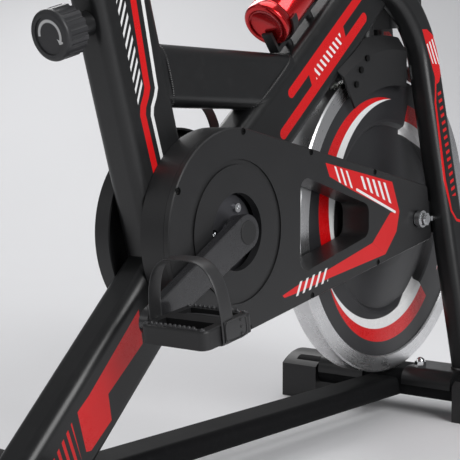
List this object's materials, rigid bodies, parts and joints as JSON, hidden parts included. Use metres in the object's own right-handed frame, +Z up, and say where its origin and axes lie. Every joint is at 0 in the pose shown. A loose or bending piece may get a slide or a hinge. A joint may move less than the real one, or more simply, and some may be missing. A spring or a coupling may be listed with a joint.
{
  "type": "indoor spin bike",
  "caption": "Stationary exercise bike: braced tube frame, covered belt drive to a heavy front flywheel, toe-strap pedals, sliding saddle and handlebar posts, friction brake and bottle.",
  "frame": {"origin": "on the floor under the middle of the bike's bounding box", "axes": "+X forward (towards the flywheel), +Y to the rider's left, +Z up"},
  "size_m": [0.93, 0.465, 0.9962],
  "materials": {
    "frame_paint": "satin powder coat, charcoal black with red and white graphics",
    "chromed_steel": "bright chrome",
    "cap_plastic": "fine moulded grain",
    "bearing_steel": "ground",
    "cover_plastic": "satin moulded plastic with red and white graphics",
    "screw_steel": "blackened",
    "bush_plastic": "polished black",
    "cage_plastic": "moulded",
    "belt_rubber": "ribbed",
    "crank_paint": "gloss black",
    "pulley_metal": "cast, dark",
    "pedal_plastic": "moulded",
    "strap_plastic": "flexible strap",
    "rim_steel": "turned bare steel",
    "disc_paint": "black paint with red and white bands",
    "post_steel": "satin plated",
    "saddle_cover": "black synthetic leather, padded",
    "knob_plastic": "moulded grip",
    "grip_foam": "closed-cell foam",
    "pad_felt": "pressed felt",
    "wheel_rubber": "solid rubber",
    "bottle_metal": "red anodised"
  },
  "bodies": {
    "frame": {"seat_tube": "frame_paint", "top_tube": "frame_paint", "down_tube": "frame_paint", "head_tube": "frame_paint", "fork_leg_right": "frame_paint", "fork_leg_left": "frame_paint", "rear_stay": "frame_paint", "base_beam": "frame_paint", "front_foot": "frame_paint", "rear_foot": "frame_paint", "foot_saddles": "frame_paint", "foot_bolts": "chromed_steel", "front_foot_caps": "cap_plastic", "rear_foot_caps": "cap_plastic", "bottom_bracket": "frame_paint", "crank_bearings": "bearing_steel", "flywheel_axle": "chromed_steel", "axle_hardware": "chromed_steel", "belt_cover_outer": "cover_plastic", "belt_cover_inner": "cover_plastic", "cover_screws": "screw_steel", "left_cover": "cover_plastic", "wheel_guard": "cover_plastic", "post_bushes": "bush_plastic", "knob_collars": "frame_paint", "bottle_cage": "cage_plastic", "drive_belt": "belt_rubber"},
    "crankset": {"crank_spindle": "bearing_steel", "crank_right": "crank_paint", "crank_left": "crank_paint", "drive_pulley": "pulley_metal", "pulley_bolts": "chromed_steel", "crank_caps": "cap_plastic", "pedal_spindles": "chromed_steel"},
    "pedal_unit_right": {"pedal_right": "pedal_plastic", "toe_strap_right": "strap_plastic"},
    "pedal_unit_left": {"pedal_left": "pedal_plastic", "toe_strap_left": "strap_plastic"},
    "wheel": {"flywheel_rim": "rim_steel", "flywheel_disc": "disc_paint", "wheel_bearings": "bearing_steel", "driven_pulley": "pulley_metal"},
    "seat_mast": {"seat_post": "post_steel"},
    "seat_top": {"seat_slider": "chromed_steel", "saddle_shell": "cap_plastic", "saddle": "saddle_cover"},
    "seat_lock": {"slider_knob": "knob_plastic"},
    "seat_pull": {"seat_pin": "chromed_steel"},
    "seat_grip": {"seat_knob": "knob_plastic"},
    "bars": {"handlebar_post": "post_steel", "handlebar": "frame_paint", "handle_grips": "grip_foam"},
    "bar_pull": {"bar_pin": "chromed_steel"},
    "bar_grip": {"bar_knob": "knob_plastic"},
    "tension": {"tension_knob": "knob_plastic"},
    "brake": {"brake_rod": "bearing_steel", "brake_pad": "pad_felt"},
    "roller_right": {"transport_wheel_right": "wheel_rubber"},
    "roller_left": {"transport_wheel_left": "wheel_rubber"},
    "flask": {"bottle": "bottle_metal"}
  },
  "joints": [
    {"name": "flywheel_spin", "type": "hinge", "parent": "frame", "child": "wheel", "pos_m": [0.25125, 0, 0.276], "axis": [0, 1, 0], "continuous": true},
    {"name": "crank_spin", "type": "hinge", "parent": "frame", "child": "crankset", "pos_m": [-0.13975, 0, 0.283], "axis": [0, 1, 0], "continuous": true},
    {"name": "pedal_right_spin", "type": "hinge", "parent": "crankset", "child": "pedal_unit_right", "pos_m": [-0.28915, -0.13, 0.20188], "axis": [0, 1, 0], "continuous": true},
    {"name": "pedal_left_spin", "type": "hinge", "parent": "crankset", "child": "pedal_unit_left", "pos_m": [0.00965, 0.13, 0.36412], "axis": [0, 1, 0], "continuous": true},
    {"name": "seat_height", "type": "slide", "parent": "frame", "child": "seat_mast", "axis": [-0.2924, 0, 0.9563], "range_m": [-0.08, 0.1]},
    {"name": "seat_fore_aft", "type": "slide", "parent": "seat_mast", "child": "seat_top", "axis": [1, 0, 0], "range_m": [-0.03, 0.03]},
    {"name": "slider_knob_turn", "type": "hinge", "parent": "seat_mast", "child": "seat_lock", "pos_m": [-0.26571, 0, 0.703], "axis": [0, 0, 1], "range_deg": [0, 360]},
    {"name": "seat_pin_pull", "type": "slide", "parent": "frame", "child": "seat_pull", "axis": [-0.9563, 0, -0.2924], "range_m": [0, 0.01], "stiffness_N_per_m": 2000},
    {"name": "seat_knob_turn", "type": "hinge", "parent": "seat_pull", "child": "seat_grip", "pos_m": [-0.30797, 0, 0.5035], "axis": [-0.9563, 0, -0.2924], "range_deg": [0, 360]},
    {"name": "handlebar_height", "type": "slide", "parent": "frame", "child": "bars", "axis": [-0.1045, 0, 0.9945], "range_m": [-0.03, 0.1]},
    {"name": "bar_pin_pull", "type": "slide", "parent": "frame", "child": "bar_pull", "axis": [0.9945, 0, 0.1045], "range_m": [0, 0.01], "stiffness_N_per_m": 2000},
    {"name": "bar_knob_turn", "type": "hinge", "parent": "bar_pull", "child": "bar_grip", "pos_m": [0.32388, 0, 0.68628], "axis": [0.9945, 0, 0.1045], "range_deg": [0, 360]},
    {"name": "tension_turn", "type": "hinge", "parent": "frame", "child": "tension", "pos_m": [0.21025, -0.0043, 0.67216], "axis": [0, 0, 1], "range_deg": [0, 1440]},
    {"name": "brake_press", "type": "slide", "parent": "frame", "child": "brake", "axis": [0, 0, -1], "range_m": [0, 0.006]},
    {"name": "roller_right_spin", "type": "hinge", "parent": "frame", "child": "roller_right", "pos_m": [0.37025, -0.142, 0.026], "axis": [0, 1, 0], "continuous": true},
    {"name": "roller_left_spin", "type": "hinge", "parent": "frame", "child": "roller_left", "pos_m": [0.37025, 0.142, 0.026], "axis": [0, 1, 0], "continuous": true},
    {"name": "bottle_lift", "type": "slide", "parent": "frame", "child": "flask", "axis": [-0.6494, 0, 0.7604], "range_m": [0, 0.12]}
  ],
  "couplings": [
    {"joint": "crank_spin", "follows": "flywheel_spin", "ratio": 0.28421},
    {"joint": "tension_turn", "follows": "brake_press", "rad_per_m": 4188.8}
  ]
}
